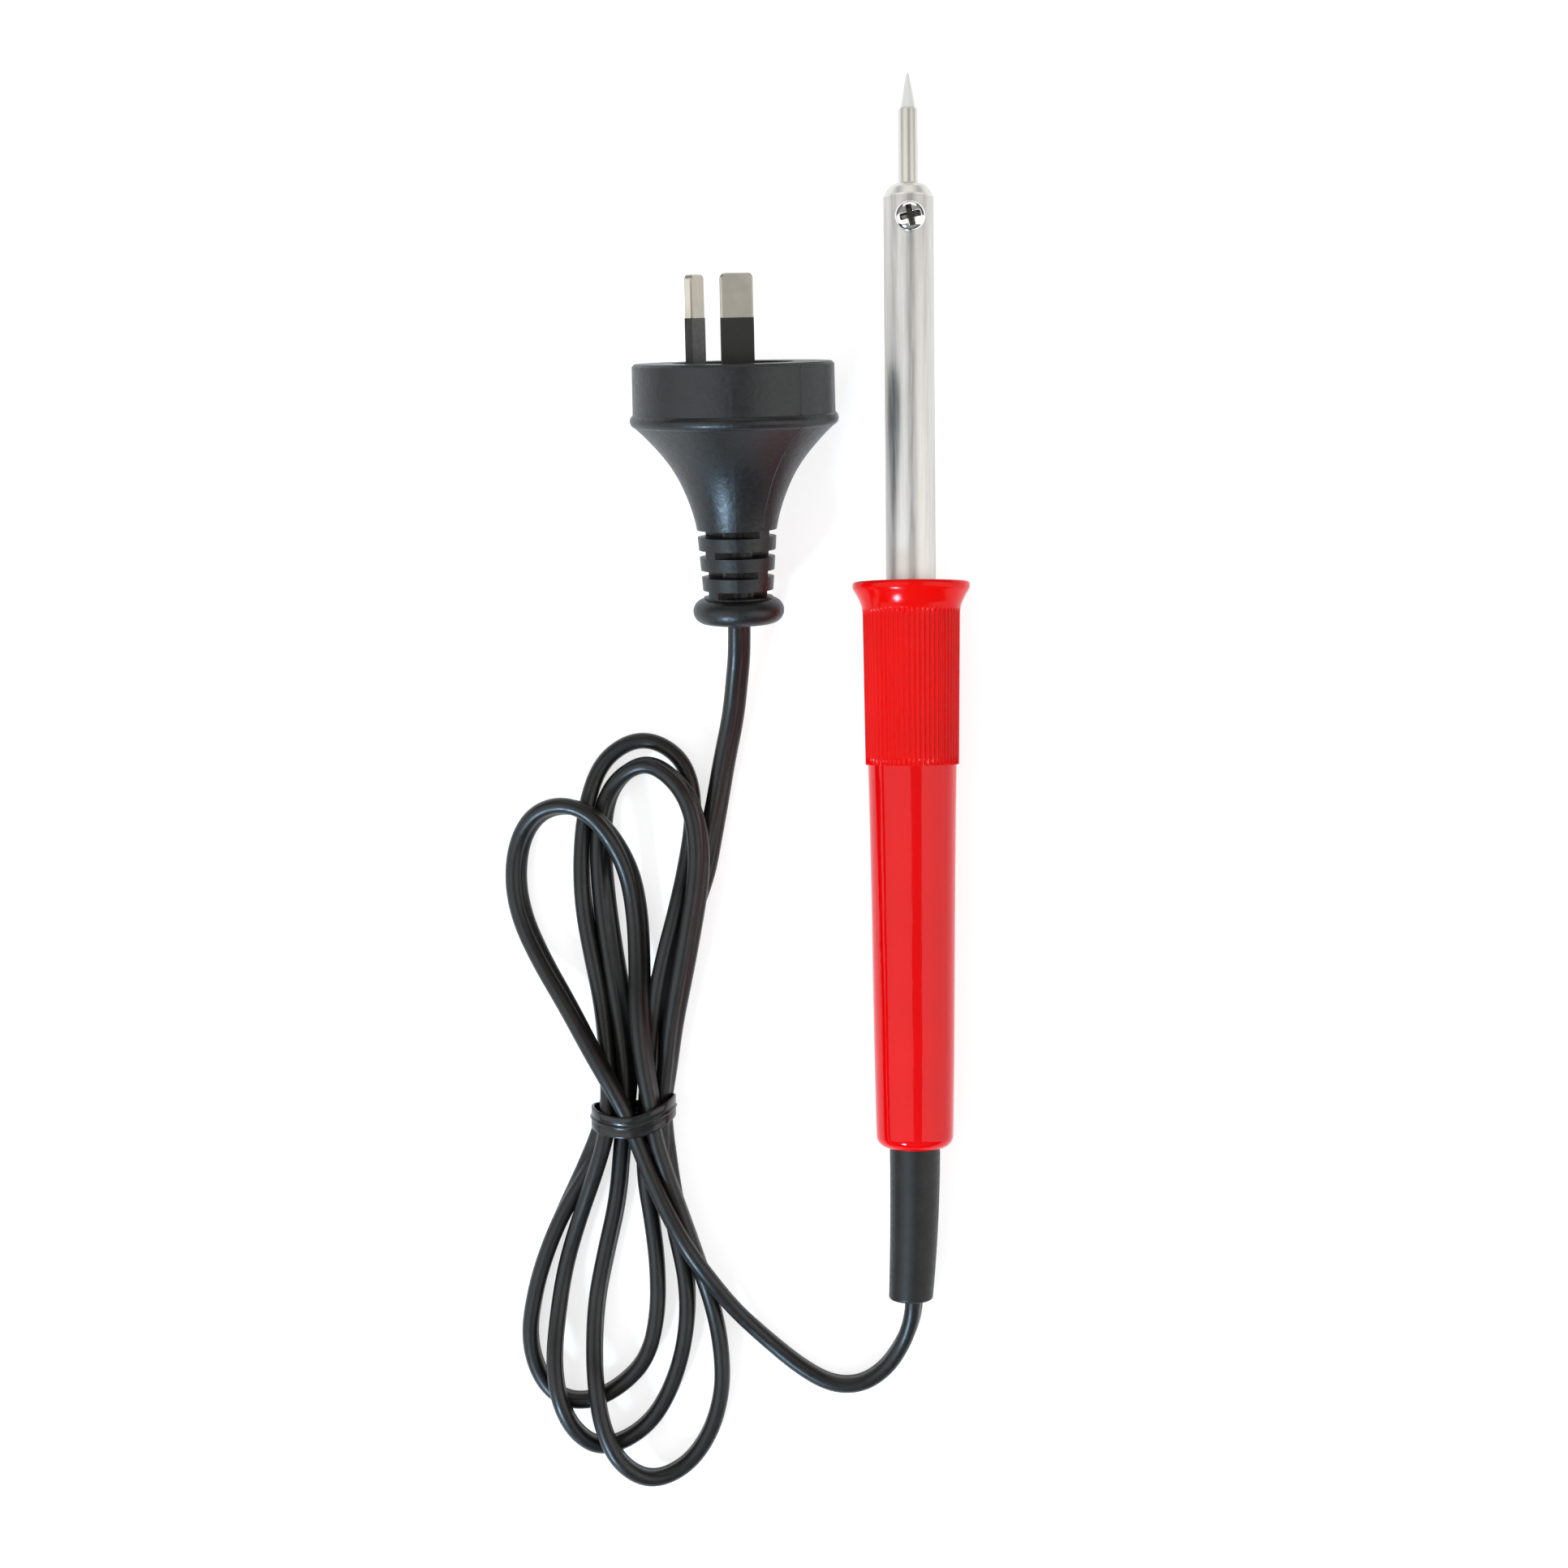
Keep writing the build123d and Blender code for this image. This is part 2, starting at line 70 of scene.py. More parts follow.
MM = 0.001
UP = Vector((0, 0, 1))
RIGHT = Vector((1, 0, 0))


# ---- frames and small helpers --------------------------------------------------------
def mount(name):
    """A mount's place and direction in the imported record."""
    found = next(m for m in frame["record"]["mounts"] if m["name"] == name)
    return Vector(found["pos_m"]), Vector(found["axis"]).normalized()


def local_frame(origin, along):
    """A frame with z along the piece, x to the right of it and y up."""
    side = (RIGHT - along * along.dot(RIGHT)).normalized()
    rise = side.cross(along)
    turn = Matrix((side, rise, along)).transposed()
    return Matrix.Translation(origin) @ turn.to_4x4()


HOLDER_STATION = 34 * MM
BLADE_LENGTH = 17.06 * MM
holder_point, iron_axis = mount("barrel_in_stand")
blade_ends, plug_axis = mount("plug_blades")
iron_frame = local_frame(holder_point - iron_axis * HOLDER_STATION, iron_axis)
plug_frame = local_frame(blade_ends - plug_axis * BLADE_LENGTH, plug_axis)


def make_mesh(name, points, faces, material, slot, body="iron"):
    """A smooth-shaded piece from points in the part's frame, riding on a body."""
    mesh = bpy.data.meshes.new(name)
    mesh.from_pydata([tuple(point) for point in points], [], faces)
    mesh.validate()
    mesh.shade_smooth()
    mesh.materials.append(material)
    piece = bpy.data.objects.new(name, mesh)
    scene.collection.objects.link(piece)
    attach(piece, body)
    return piece


def skin(rings, closed=False, capped=True):
    """Quads that join equal rings of points, one after the other."""
    size = len(rings[0])
    points = [point for ring in rings for point in ring]
    faces = []
    last = len(rings) if closed else len(rings) - 1
    for row in range(last):
        below = row * size
        above = (row + 1) % len(rings) * size
        for column in range(size):
            beside = (column + 1) % size
            faces.append((below + column, below + beside, above + beside, above + column))
    if capped and not closed:
        faces.append(tuple(reversed(range(size))))
        faces.append(tuple(range(len(points) - size, len(points))))
    return points, faces


def smooth_line(points, resolution, cyclic=False):
    """Points read from the NURBS line that has these points as its controls."""
    curve = bpy.data.curves.new("line", "CURVE")
    curve.dimensions = "3D"
    spline = curve.splines.new("NURBS")
    spline.points.add(len(points) - 1)
    for control, point in zip(spline.points, points):
        control.co = (*point, 1)
    spline.order_u = 3
    spline.use_cyclic_u = cyclic
    spline.use_endpoint_u = not cyclic
    spline.resolution_u = resolution
    carrier = bpy.data.objects.new("line", curve)
    scene.collection.objects.link(carrier)
    bpy.context.view_layer.update()
    mesh = bpy.data.meshes.new_from_object(carrier)
    line = [vertex.co.copy() for vertex in mesh.vertices]
    bpy.data.objects.remove(carrier)
    bpy.data.curves.remove(curve)
    bpy.data.meshes.remove(mesh)
    return line


def directions(line, cyclic=False):
    """The unit tangent at each point of a line."""
    count = len(line)
    found = []
    for index in range(count):
        ahead = line[(index + 1) % count] if cyclic or index + 1 < count else line[index]
        behind = line[index - 1] if cyclic or index else line[index]
        found.append((ahead - behind).normalized())
    return found


def share(value, reach):
    """How far a value has got towards its reach, from 0 to 1."""
    return min(1.0, max(0.0, value / reach))


# ---- camera ---------------------------------------------------------------------------
# It looks straight down from half a metre, slightly turned against the iron.
CAMERA_HEIGHT = 0.5
CAMERA_OVER = (-0.02582, -0.01833)
CAMERA_TURN = math.radians(-0.51)
camera_data = bpy.data.cameras.new("camera")
camera_data.sensor_width = 36
camera_data.lens = 55.9
camera = bpy.data.objects.new("camera", camera_data)
camera.location = (*CAMERA_OVER, CAMERA_HEIGHT)
camera.rotation_euler = (0, 0, CAMERA_TURN)
scene.collection.objects.link(camera)
scene.camera = camera
scene.view_settings.view_transform = "Standard"


# ---- materials ------------------------------------------------------------------------
class Finish:
    """A procedural material: a principled shader with noise in its colour, gloss and relief."""

    def __init__(self, name, color, roughness, metallic=0.0, stretch=(1, 1, 1), specular=0.5):
        self.material = bpy.data.materials.new(name)
        self.material.use_nodes = True
        self.tree = self.material.node_tree
        self.shader = self.tree.nodes["Principled BSDF"]
        self.shader.inputs["Base Color"].default_value = (*color, 1)
        self.shader.inputs["Roughness"].default_value = roughness
        self.shader.inputs["Metallic"].default_value = metallic
        self.shader.inputs["Specular IOR Level"].default_value = specular
        self.color = color
        self.roughness = roughness
        place = self.add("ShaderNodeTexCoord")
        self.scaled = self.add("ShaderNodeMapping")
        self.scaled.inputs["Scale"].default_value = stretch
        self.join(place.outputs["Object"], self.scaled.inputs["Vector"])

    def add(self, kind):
        return self.tree.nodes.new(kind)

    def join(self, source, target):
        self.tree.links.new(source, target)

    def noise(self, grain, detail=3):
        """Noise whose grain is that many metres across, from 0 to 1."""
        node = self.add("ShaderNodeTexNoise")
        node.inputs["Scale"].default_value = 1 / grain
        node.inputs["Detail"].default_value = detail
        self.join(self.scaled.outputs["Vector"], node.inputs["Vector"])
        return node.outputs["Fac"]

    def ramp(self, source, stops):
        """A colour ramp with (position, colour) stops."""
        node = self.add("ShaderNodeValToRGB")
        while len(node.color_ramp.elements) < len(stops):
            node.color_ramp.elements.new(0.5)
        for element, (position, color) in zip(node.color_ramp.elements, stops):
            element.position = position
            element.color = (*color, 1)
        self.join(source, node.inputs["Fac"])
        return node.outputs["Color"]

    def vary_color(self, grain, amount):
        """Colour that drifts between darker and lighter by that share."""
        dark = tuple(value * (1 - amount) for value in self.color)
        light = tuple(min(1.0, value * (1 + amount)) for value in self.color)
        shades = self.ramp(self.noise(grain), [(0.35, dark), (0.65, light)])
        self.join(shades, self.shader.inputs["Base Color"])
        return self

    def vary_gloss(self, grain, amount):
        """Roughness that drifts up and down by that much."""
        node = self.add("ShaderNodeMapRange")
        node.inputs["From Min"].default_value = 0.3
        node.inputs["From Max"].default_value = 0.7
        node.inputs["To Min"].default_value = self.roughness - amount
        node.inputs["To Max"].default_value = self.roughness + amount
        self.join(self.noise(grain), node.inputs["Value"])
        self.join(node.outputs["Result"], self.shader.inputs["Roughness"])
        return self

    def bumps(self, grain, height):
        """Relief of that grain and height, both in metres."""
        node = self.add("ShaderNodeBump")
        node.inputs["Strength"].default_value = 1.0
        node.inputs["Distance"].default_value = height
        self.join(self.noise(grain, detail=2), node.inputs["Height"])
        self.join(node.outputs["Normal"], self.shader.inputs["Normal"])
        return self


RECESS_SHADE_ATTRIBUTE = "recess_shade"
HANDLE_RED = (0.67, 0.001, 0.002)
GRIP_RED = (0.74, 0.002, 0.001)


def handle_material():
    finish = Finish("moulded_red", HANDLE_RED, 0.07, specular=0.24)
    finish.vary_color(0.03, 0.05).vary_gloss(0.004, 0.03).bumps(0.0025, 0.000006)
    return finish.material


def grip_material():
    finish = Finish("ribbed_red", GRIP_RED, 0.16, specular=0.14)
    return finish.vary_color(0.02, 0.05).vary_gloss(0.0015, 0.06).bumps(0.0004, 0.000004).material


def barrel_material():
    finish = Finish("drawn_stainless", (0.6, 0.575, 0.54), 0.43, 1.0, stretch=(1, 0.03, 1))
    return finish.vary_color(0.0005, 0.1).vary_gloss(0.0005, 0.06).bumps(0.00025, 0.000004).material


def nose_material():
    finish = Finish("turned_nickel", (0.72, 0.7, 0.65), 0.42, 1.0, stretch=(0.05, 1, 0.05))
    return finish.vary_color(0.0004, 0.06).vary_gloss(0.0004, 0.06).bumps(0.0003, 0.000002).material


def tip_material(cone_start):
    """Nickel on the shank, dull bright tin on the cone."""
    tin, tin_roughness = (0.93, 0.91, 0.87), 0.6
    finish = Finish("tip_plating", (0.66, 0.63, 0.57), 0.34, 1.0, stretch=(1, 0.12, 1))
    finish.bumps(0.0004, 0.0000015)
    place = finish.add("ShaderNodeTexCoord")
    split = finish.add("ShaderNodeSeparateXYZ")
    finish.join(place.outputs["Object"], split.inputs["Vector"])
    along = finish.add("ShaderNodeMapRange")
    along.inputs["From Min"].default_value = cone_start - 0.2 * MM
    along.inputs["From Max"].default_value = cone_start + 0.3 * MM
    finish.join(split.outputs["Y"], along.inputs["Value"])
    shades = finish.ramp(along.outputs["Result"], [(0, finish.color), (1, tin)])
    finish.join(shades, finish.shader.inputs["Base Color"])
    dull = finish.add("ShaderNodeMapRange")
    dull.inputs["To Min"].default_value = finish.roughness
    dull.inputs["To Max"].default_value = tin_roughness
    finish.join(along.outputs["Result"], dull.inputs["Value"])
    finish.join(dull.outputs["Result"], finish.shader.inputs["Roughness"])
    return finish.material


def chrome_material():
    """Bright plating, with painted shade that darkens its colour down in the screw's cross slots."""
    finish = Finish("bright_chrome", (0.8, 0.79, 0.76), 0.12, 1.0)
    recess_shade = finish.add("ShaderNodeAttribute")
    recess_shade.attribute_name = RECESS_SHADE_ATTRIBUTE
    # Painted shade: the plating's colour darkens with the depth of the cross slots, where it sees
    # little light.
    stops = [(0.0, finish.color), (0.3, (0.4, 0.39, 0.36)), (0.9, (0.13, 0.125, 0.11))]
    shades = finish.ramp(recess_shade.outputs["Fac"], stops)
    finish.join(shades, finish.shader.inputs["Base Color"])
    return finish.vary_gloss(0.0006, 0.04).material


def flex_material():
    finish = Finish("satin_pvc", (0.0085, 0.0077, 0.0069), 0.38, specular=0.37)
    return finish.vary_color(0.006, 0.2).vary_gloss(0.0015, 0.06).bumps(0.0005, 0.000006).material


def rubber_material():
    finish = Finish("matt_rubber", (0.0125, 0.0102, 0.0086), 0.45, specular=0.3)
    return finish.vary_color(0.003, 0.15).vary_gloss(0.0008, 0.08).bumps(0.0003, 0.00001).material


def tie_material():
    finish = Finish("tie_plastic", (0.0095, 0.0087, 0.008), 0.24, specular=0.42)
    return finish.vary_color(0.002, 0.2).vary_gloss(0.001, 0.05).bumps(0.003, 0.000003).material


def plug_material():
    finish = Finish("grained_pvc", (0.0065, 0.0062, 0.006), 0.4, specular=0.42)
    return finish.vary_color(0.002, 0.2).vary_gloss(0.001, 0.05).bumps(0.0009, 0.00006).material


def blade_material():
    finish = Finish("nickel_blade", (0.465, 0.43, 0.365), 0.36, 1.0)
    return finish.vary_color(0.003, 0.04).vary_gloss(0.002, 0.03).bumps(0.001, 0.000001).material


def sleeve_material():
    finish = Finish("blade_insulation", (0.0105, 0.0112, 0.0085), 0.45)
    return finish.vary_color(0.0012, 0.15).vary_gloss(0.0006, 0.08).bumps(0.0003, 0.000008).material


def inner_material(name, color, roughness, metallic=0.0, grain=0.0012):
    finish = Finish(name, color, roughness, metallic)
    return finish.vary_color(grain, 0.15).vary_gloss(grain, 0.08).bumps(grain / 3, 0.000008).material


red_handle = handle_material()
red_grip = grip_material()
flex_skin = flex_material()
tie_skin = tie_material()
plug_skin = plug_material()
plain_steel = inner_material("plain_steel", (0.5, 0.5, 0.49), 0.35, 1.0)
mica = inner_material("mica_paper", (0.62, 0.5, 0.3), 0.5)
CONE_STATION = 93.7 * MM
cone_start = (iron_frame.translation + iron_axis * CONE_STATION).y
node_materials = {
    "tip": tip_material(cone_start),
    "nose_bush": nose_material(),
    "barrel": barrel_material(),
    "handle": red_handle,
    "flex_protector": rubber_material(),
    "plug_body": plug_skin,
    "plug_pins": blade_material(),
    "pin_sleeves": sleeve_material(),
    "plug_cord_tail": flex_skin,
    "plug_bridge": inner_material("inner_core", (0.05, 0.05, 0.052), 0.5),
    "bit_tube": plain_steel,
    "barrel_clip": plain_steel,
    "cord_grip_ring": plain_steel,
    "element_former": mica,
    "element_sleeve": mica,
    "heating_coil": inner_material("resistance_wire", (0.3, 0.27, 0.25), 0.4, 1.0),
    "element_leads": inner_material("lead_wire", (0.45, 0.43, 0.4), 0.35, 1.0),
    "lead_crimps": inner_material("tinned_crimp", (0.7, 0.69, 0.67), 0.3, 1.0),
    "rear_insulator": inner_material("white_ceramic", (0.78, 0.75, 0.68), 0.55),
    "lead_sleeves": inner_material("glass_sleeving", (0.75, 0.73, 0.68), 0.8, 0.0, 0.0004),
    "barrel_bush": inner_material("brown_resin", (0.09, 0.035, 0.015), 0.45),
    "flex_cores": inner_material("core_insulation", (0.2, 0.07, 0.02), 0.4),
    "plug_cores": inner_material("plug_core_insulation", (0.2, 0.07, 0.02), 0.4),
}
for node, material in node_materials.items():
    for material_slot in frame["nodes"][node].material_slots:
        material_slot.material = material


# ---- flex -----------------------------------------------------------------------------
# Two round cores side by side in one skin, with a groove down each flat side.
LOBE_RADIUS = 1.62 * MM
LOBE_OFFSET = 0.85 * MM
LOBE_STEPS = 12

# The route, as x, y, z in metres and the flex's roll in degrees: at 0 it stands on edge, and a
# positive roll leans its top to the right of the way it runs, from the iron to the plug.
iron_run = [
    (0.0, -0.1110, 0.0070, 20), (0.0, -0.1170, 0.0068, 20), (-0.0003, -0.1229, 0.0066, 18),
    (-0.0008, -0.1275, 0.0054, 12), (-0.0027, -0.1328, 0.0036, 4), (-0.0062, -0.1380, 0.0026, 0),
    (-0.0112, -0.1411, 0.0024, 0), (-0.0172, -0.1410, 0.0024, 0), (-0.0235, -0.1374, 0.0024, 2),
    (-0.0305, -0.1315, 0.0026, 6), (-0.0370, -0.1250, 0.0046, 10), (-0.0420, -0.1180, 0.0082, 12),
    (-0.0465, -0.1115, 0.0094, 10), (-0.0505, -0.1040, 0.0088, 5), (-0.0540, -0.0960, 0.0080, 0),
    (-0.0570, -0.0880, 0.0080, 0),
]
left_loop = [
    (-0.0600, -0.0810, 0.0092, -5), (-0.0645, -0.0730, 0.0090, -15),
    (-0.0700, -0.0630, 0.0062, -25), (-0.0755, -0.0540, 0.0034, -35),
    (-0.0795, -0.0455, 0.0024, -40), (-0.0810, -0.0375, 0.0023, -40),
    (-0.0800, -0.0295, 0.0029, -35), (-0.0765, -0.0240, 0.0050, -25),
    (-0.0710, -0.0220, 0.0074, -10), (-0.0655, -0.0235, 0.0078, 10), (-0.0610, -0.0285, 0.0070, 25),
    (-0.0575, -0.0355, 0.0046, 40), (-0.0560, -0.0440, 0.0030, 48), (-0.0555, -0.0540, 0.0044, 48),
    (-0.0555, -0.0650, 0.0078, 42), (-0.0545, -0.0750, 0.0084, 30), (-0.0530, -0.0840, 0.0076, 15),
]
long_bight = [
    (-0.0528, -0.0890, 0.0074, 0), (-0.0506, -0.0965, 0.0070, 0), (-0.0474, -0.1055, 0.0060, 0),
    (-0.0440, -0.1160, 0.0038, 0), (-0.0410, -0.1255, 0.0024, 0), (-0.0395, -0.1345, 0.0024, 0),
    (-0.0395, -0.1425, 0.0024, 0), (-0.0420, -0.1510, 0.0024, 0), (-0.0470, -0.1575, 0.0028, 0),
    (-0.0540, -0.1600, 0.0042, 0), (-0.0600, -0.1560, 0.0070, 0), (-0.0635, -0.1490, 0.0078, 0),
    (-0.0650, -0.1405, 0.0072, 0), (-0.0655, -0.1325, 0.0044, -5), (-0.0650, -0.1230, 0.0026, -10),
    (-0.0630, -0.1135, 0.0024, -15), (-0.0605, -0.1030, 0.0024, -15), (-0.0595, -0.0920, 0.0030, -10),
]
right_loop = [
    (-0.0585, -0.0835, 0.0038, -20), (-0.0580, -0.0735, 0.0050, -50), (-0.0595, -0.0625, 0.0036, -72),
    (-0.0615, -0.0515, 0.0022, -74), (-0.0630, -0.0400, 0.0021, -66), (-0.0635, -0.0300, 0.0022, -48),
    (-0.0625, -0.0215, 0.0025, -22), (-0.0590, -0.0160, 0.0036, 0), (-0.0535, -0.0135, 0.0056, 10),
    (-0.0480, -0.0170, 0.0072, 20), (-0.0445, -0.0225, 0.0074, 30), (-0.0430, -0.0305, 0.0072, 45),
    (-0.0435, -0.0390, 0.0070, 50), (-0.0450, -0.0475, 0.0068, 50), (-0.0467, -0.0565, 0.0062, 45),
    (-0.0488, -0.0665, 0.0050, 40), (-0.0501, -0.0760, 0.0038, 30), (-0.0512, -0.0835, 0.0032, 15),
]
middle_bight = [
    (-0.0510, -0.0900, 0.0026, 30), (-0.0502, -0.0990, 0.0020, 65), (-0.0483, -0.1090, 0.0020, 50),
    (-0.0465, -0.1190, 0.0024, 10), (-0.0465, -0.1285, 0.0024, 0), (-0.0485, -0.1380, 0.0024, 0),
    (-0.0525, -0.1465, 0.0024, 0), (-0.0580, -0.1515, 0.0024, 0), (-0.0645, -0.1535, 0.0028, 0),
    (-0.0695, -0.1495, 0.0054, 0), (-0.0725, -0.1425, 0.0076, 0), (-0.0735, -0.1350, 0.0066, 0),
    (-0.0730, -0.1270, 0.0036, 0), (-0.0715, -0.1170, 0.0026, 0), (-0.0685, -0.1070, 0.0034, 0),
    (-0.0650, -0.0975, 0.0056, 0), (-0.0625, -0.0895, 0.0066, 0),
]
far_loop = [
    (-0.0615, -0.0815, 0.0054, -30), (-0.0620, -0.0720, 0.0042, -30), (-0.0630, -0.0625, 0.0030, -30),
    (-0.0650, -0.0535, 0.0026, -20), (-0.0670, -0.0435, 0.0024, -10), (-0.0675, -0.0335, 0.0024, 0),
    (-0.0665, -0.0230, 0.0024, 0), (-0.0635, -0.0140, 0.0024, 0), (-0.0580, -0.0095, 0.0024, 0),
    (-0.0525, -0.0090, 0.0024, 0), (-0.0470, -0.0125, 0.0024, 0), (-0.0445, -0.0185, 0.0024, 0),
    (-0.0445, -0.0265, 0.0024, 10), (-0.0455, -0.0345, 0.0032, 30), (-0.0475, -0.0445, 0.0054, 50),
    (-0.0500, -0.0535, 0.0054, 55), (-0.0520, -0.0630, 0.0054, 50), (-0.0535, -0.0730, 0.0032, 20),
    (-0.0545, -0.0825, 0.0032, 0),
]
short_bight = [
    (-0.0550, -0.0900, 0.0028, 0), (-0.0550, -0.0985, 0.0024, 0), (-0.0535, -0.1075, 0.0024, 0),
    (-0.0525, -0.1165, 0.0024, 0), (-0.0525, -0.1260, 0.0024, 0), (-0.0545, -0.1350, 0.0024, 0),
    (-0.0595, -0.1405, 0.0024, 0), (-0.0660, -0.1440, 0.0024, 0), (-0.0725, -0.1435, 0.0024, 0),
    (-0.0770, -0.1385, 0.0024, 0), (-0.0790, -0.1305, 0.0024, 0), (-0.0775, -0.1210, 0.0024, 0),
    (-0.0750, -0.1130, 0.0024, 0), (-0.0715, -0.1050, 0.0024, 0), (-0.0668, -0.0965, 0.0022, 40),
    (-0.0635, -0.0895, 0.0019, 78),
]
plug_run = [
    (-0.0615, -0.0825, 0.0018, 85), (-0.0595, -0.0755, 0.0018, 85), (-0.0550, -0.0670, 0.0018, 85),
    (-0.0505, -0.0570, 0.0018, 85), (-0.0460, -0.0460, 0.0018, 92), (-0.0425, -0.0370, 0.0019, 104),
    (-0.0410, -0.0295, 0.0020, 114), (-0.0395, -0.0220, 0.0022, 122),
    (-0.0380, -0.0135, 0.0028, 128), (-0.0360, -0.0045, 0.0046, 130), (-0.0350, 0.0040, 0.0078, 130),
    (-0.0345, 0.0090, 0.0104, 130), (-0.0345, 0.0148, 0.0126, 130),
]
flex_route = (iron_run + left_loop + long_bight + right_loop + middle_bight + far_loop
              + short_bight + plug_run)


def flex_section():
    """The outline of the flex, as (wide, thin) pairs: two lobes that meet in the grooves."""
    groove = math.acos(-LOBE_OFFSET / LOBE_RADIUS)
    outline = []
    for side in (0, 1):
        for step in range(LOBE_STEPS):
            angle = -groove + 2 * groove * step / LOBE_STEPS + side * math.pi
            offset = LOBE_OFFSET * (1 - 2 * side)
            outline.append((offset + LOBE_RADIUS * math.cos(angle), LOBE_RADIUS * math.sin(angle)))
    return outline


def flex_rings(line, rolls):
    """The flex's outline at each point of its line, turned by the roll in degrees."""
    outline = flex_section()
    rings = []
    for point, along, roll in zip(line, directions(line), rolls):
        side = along.cross(UP).normalized()
        rise = side.cross(along)
        angle = math.radians(roll)
        wide = rise * math.cos(angle) + side * math.sin(angle)
        thin = side * math.cos(angle) - rise * math.sin(angle)
        rings.append([point + wide * across + thin * deep for across, deep in outline])
    return rings


FLEX_RESOLUTION = 8
flex_line = smooth_line([point[:3] for point in flex_route], resolution=FLEX_RESOLUTION)
roll_line = smooth_line([(point[3], 0, 0) for point in flex_route], resolution=FLEX_RESOLUTION)
flex_rolls = [point.x for point in roll_line]
flex = make_mesh("flex", *skin(flex_rings(flex_line, flex_rolls)), flex_skin, slot="flex_pvc")
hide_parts("cord_iron_run", "cord_hank", "cord_plug_run")

# The flex inside the handle ends where the free flex begins, inside the protector.
tail_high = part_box("cord_tail")[1]
tail_front = Vector((0, tail_high.y, tail_high.z - 2 * MM))
inner_flex = make_mesh(
    "inner_flex",
    *skin(flex_rings([tail_front, flex_line[0]], [flex_rolls[0]] * 2)),
    flex_skin,
    slot="flex_pvc",
)
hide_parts("cord_tail")


# ---- tie ------------------------------------------------------------------------------
TIE_HALF_WIDTH = 2.2 * MM
TIE_HALF_THICKNESS = 0.3 * MM
TIE_CREST = TIE_HALF_THICKNESS + 0.28 * MM  # over the wire
# The way round the bundle, clockwise seen from below: x, y, z in metres.
tie_way = [
    (-0.0646, -0.0853, 0.0012), (-0.0654, -0.0853, 0.0035), (-0.0652, -0.0856, 0.0062),
    (-0.0640, -0.0862, 0.0086), (-0.0622, -0.0868, 0.0098), (-0.0598, -0.0872, 0.0108),
    (-0.0570, -0.0872, 0.0112), (-0.0545, -0.0866, 0.0108), (-0.0522, -0.0856, 0.0104),
    (-0.0502, -0.0846, 0.0090), (-0.0490, -0.0837, 0.0068), (-0.0486, -0.0834, 0.0040),
    (-0.0490, -0.0836, 0.0012), (-0.0504, -0.0840, 0.0005), (-0.0540, -0.0848, 0.0004),
    (-0.0590, -0.0854, 0.0004), (-0.0628, -0.0854, 0.0005),
]


def tie_section():
    """The strip's outline, as (across, out) pairs: a flat band with a wire along its middle."""
    # in half widths and half thicknesses: the edge, the flat, and the groove beside the wire
    outer = [(-1, 0.0), (-0.95, 0.9), (-0.8, 1.0), (-0.27, 1.0), (-0.2, 0.65), (-0.15, 1.2)]
    half = [(across * TIE_HALF_WIDTH, out * TIE_HALF_THICKNESS) for across, out in outer]
    crest = [(0.0, TIE_CREST)]
    top = half + crest + [(-across, out) for across, out in reversed(half)]
    bottom = [(across, -out) for across, out in reversed(top[1:-1])]
    return top + bottom


def tie_rings(line):
    """The strip's outline along its way, with its flat side always facing the bundle."""
    outline = tie_section()
    rings = []
    for point, along in zip(line, directions(line, cyclic=True)):
        across = Vector((0, 1, 0))
        across = (across - along * along.dot(across)).normalized()
        out = across.cross(along)
        rings.append([point + across * wide + out * high for wide, high in outline])
    return rings


tie_line = smooth_line(tie_way, cyclic=True, resolution=12)
tie = make_mesh("tie", *skin(tie_rings(tie_line), closed=True), tie_skin, slot="tie_pvc")
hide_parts("cord_tie")


# ---- ribbed grip ----------------------------------------------------------------------
RIB_COUNT = 60
STEPS_PER_RIB = 10
RIB_DEPTH = 0.34 * MM
FLUTE_SHARE = 0.46  # of a rib's pitch on either side of the flute's middle
FLUTE_START = -5.3
FLUTE_ARCH = 0.9  # how much later a flute starts at its sides
FLUTE_RUN_IN = 0.7
FLUTE_ROUNDNESS = 0.6
RIBS_START = -6.2
RIBS_START_RADIUS = 9.76
collar_profile = [  # (station, radius) from the bore over the collar to the ribs
    (0.0, 5.15), (0.0, 11.35), (-0.07, 11.6), (-0.3, 11.75), (-0.6, 11.8), (-1.2, 11.8),
    (-1.9, 11.45), (-2.6, 11.0), (-3.4, 10.6), (-4.4, 10.15), (FLUTE_START, 9.9),
    (RIBS_START, RIBS_START_RADIUS),
]
FINE_FROM = -4.4  # close rings from here on, where the flutes run in
FINE_PIECES = 5
CLOSE_RINGS = [RIBS_START - 0.15 * step for step in range(1, 9)]
STRAIGHT_START = -8.0
STRAIGHT_RINGS = 12
GRIP_REAR = -36.6
GRIP_REAR_RADIUS = 9.4
GRIP_REAR_BORE = 8.5
GRIP_REAR_BEVEL = (0.05, 0.3)  # along, inward


def flute_depth(turn, station):
    """How far a flute is cut in there: turn is from 0 to 1 across one rib."""
    across = abs(turn - 0.5) / FLUTE_SHARE
    if across >= 1:
        return 0.0
    arch = FLUTE_START - FLUTE_ARCH * across**2
    run_in = share(arch - station, FLUTE_RUN_IN)
    return RIB_DEPTH * math.cos(across * math.pi / 2) ** FLUTE_ROUNDNESS * run_in


def grip_ring(station, radius, fluted=True):
    """A ring of the grip, in millimetres along and out in the iron's own frame."""
    ring = []
    steps = RIB_COUNT * STEPS_PER_RIB
    for step in range(steps):
        angle = 2 * math.pi * step / steps
        turn = step % STEPS_PER_RIB / STEPS_PER_RIB
        cut = flute_depth(turn, station) if fluted else 0.0
        reach = radius * MM - cut
        local = Vector((reach * math.cos(angle), reach * math.sin(angle), station * MM))
        ring.append(iron_frame @ local)
    return ring


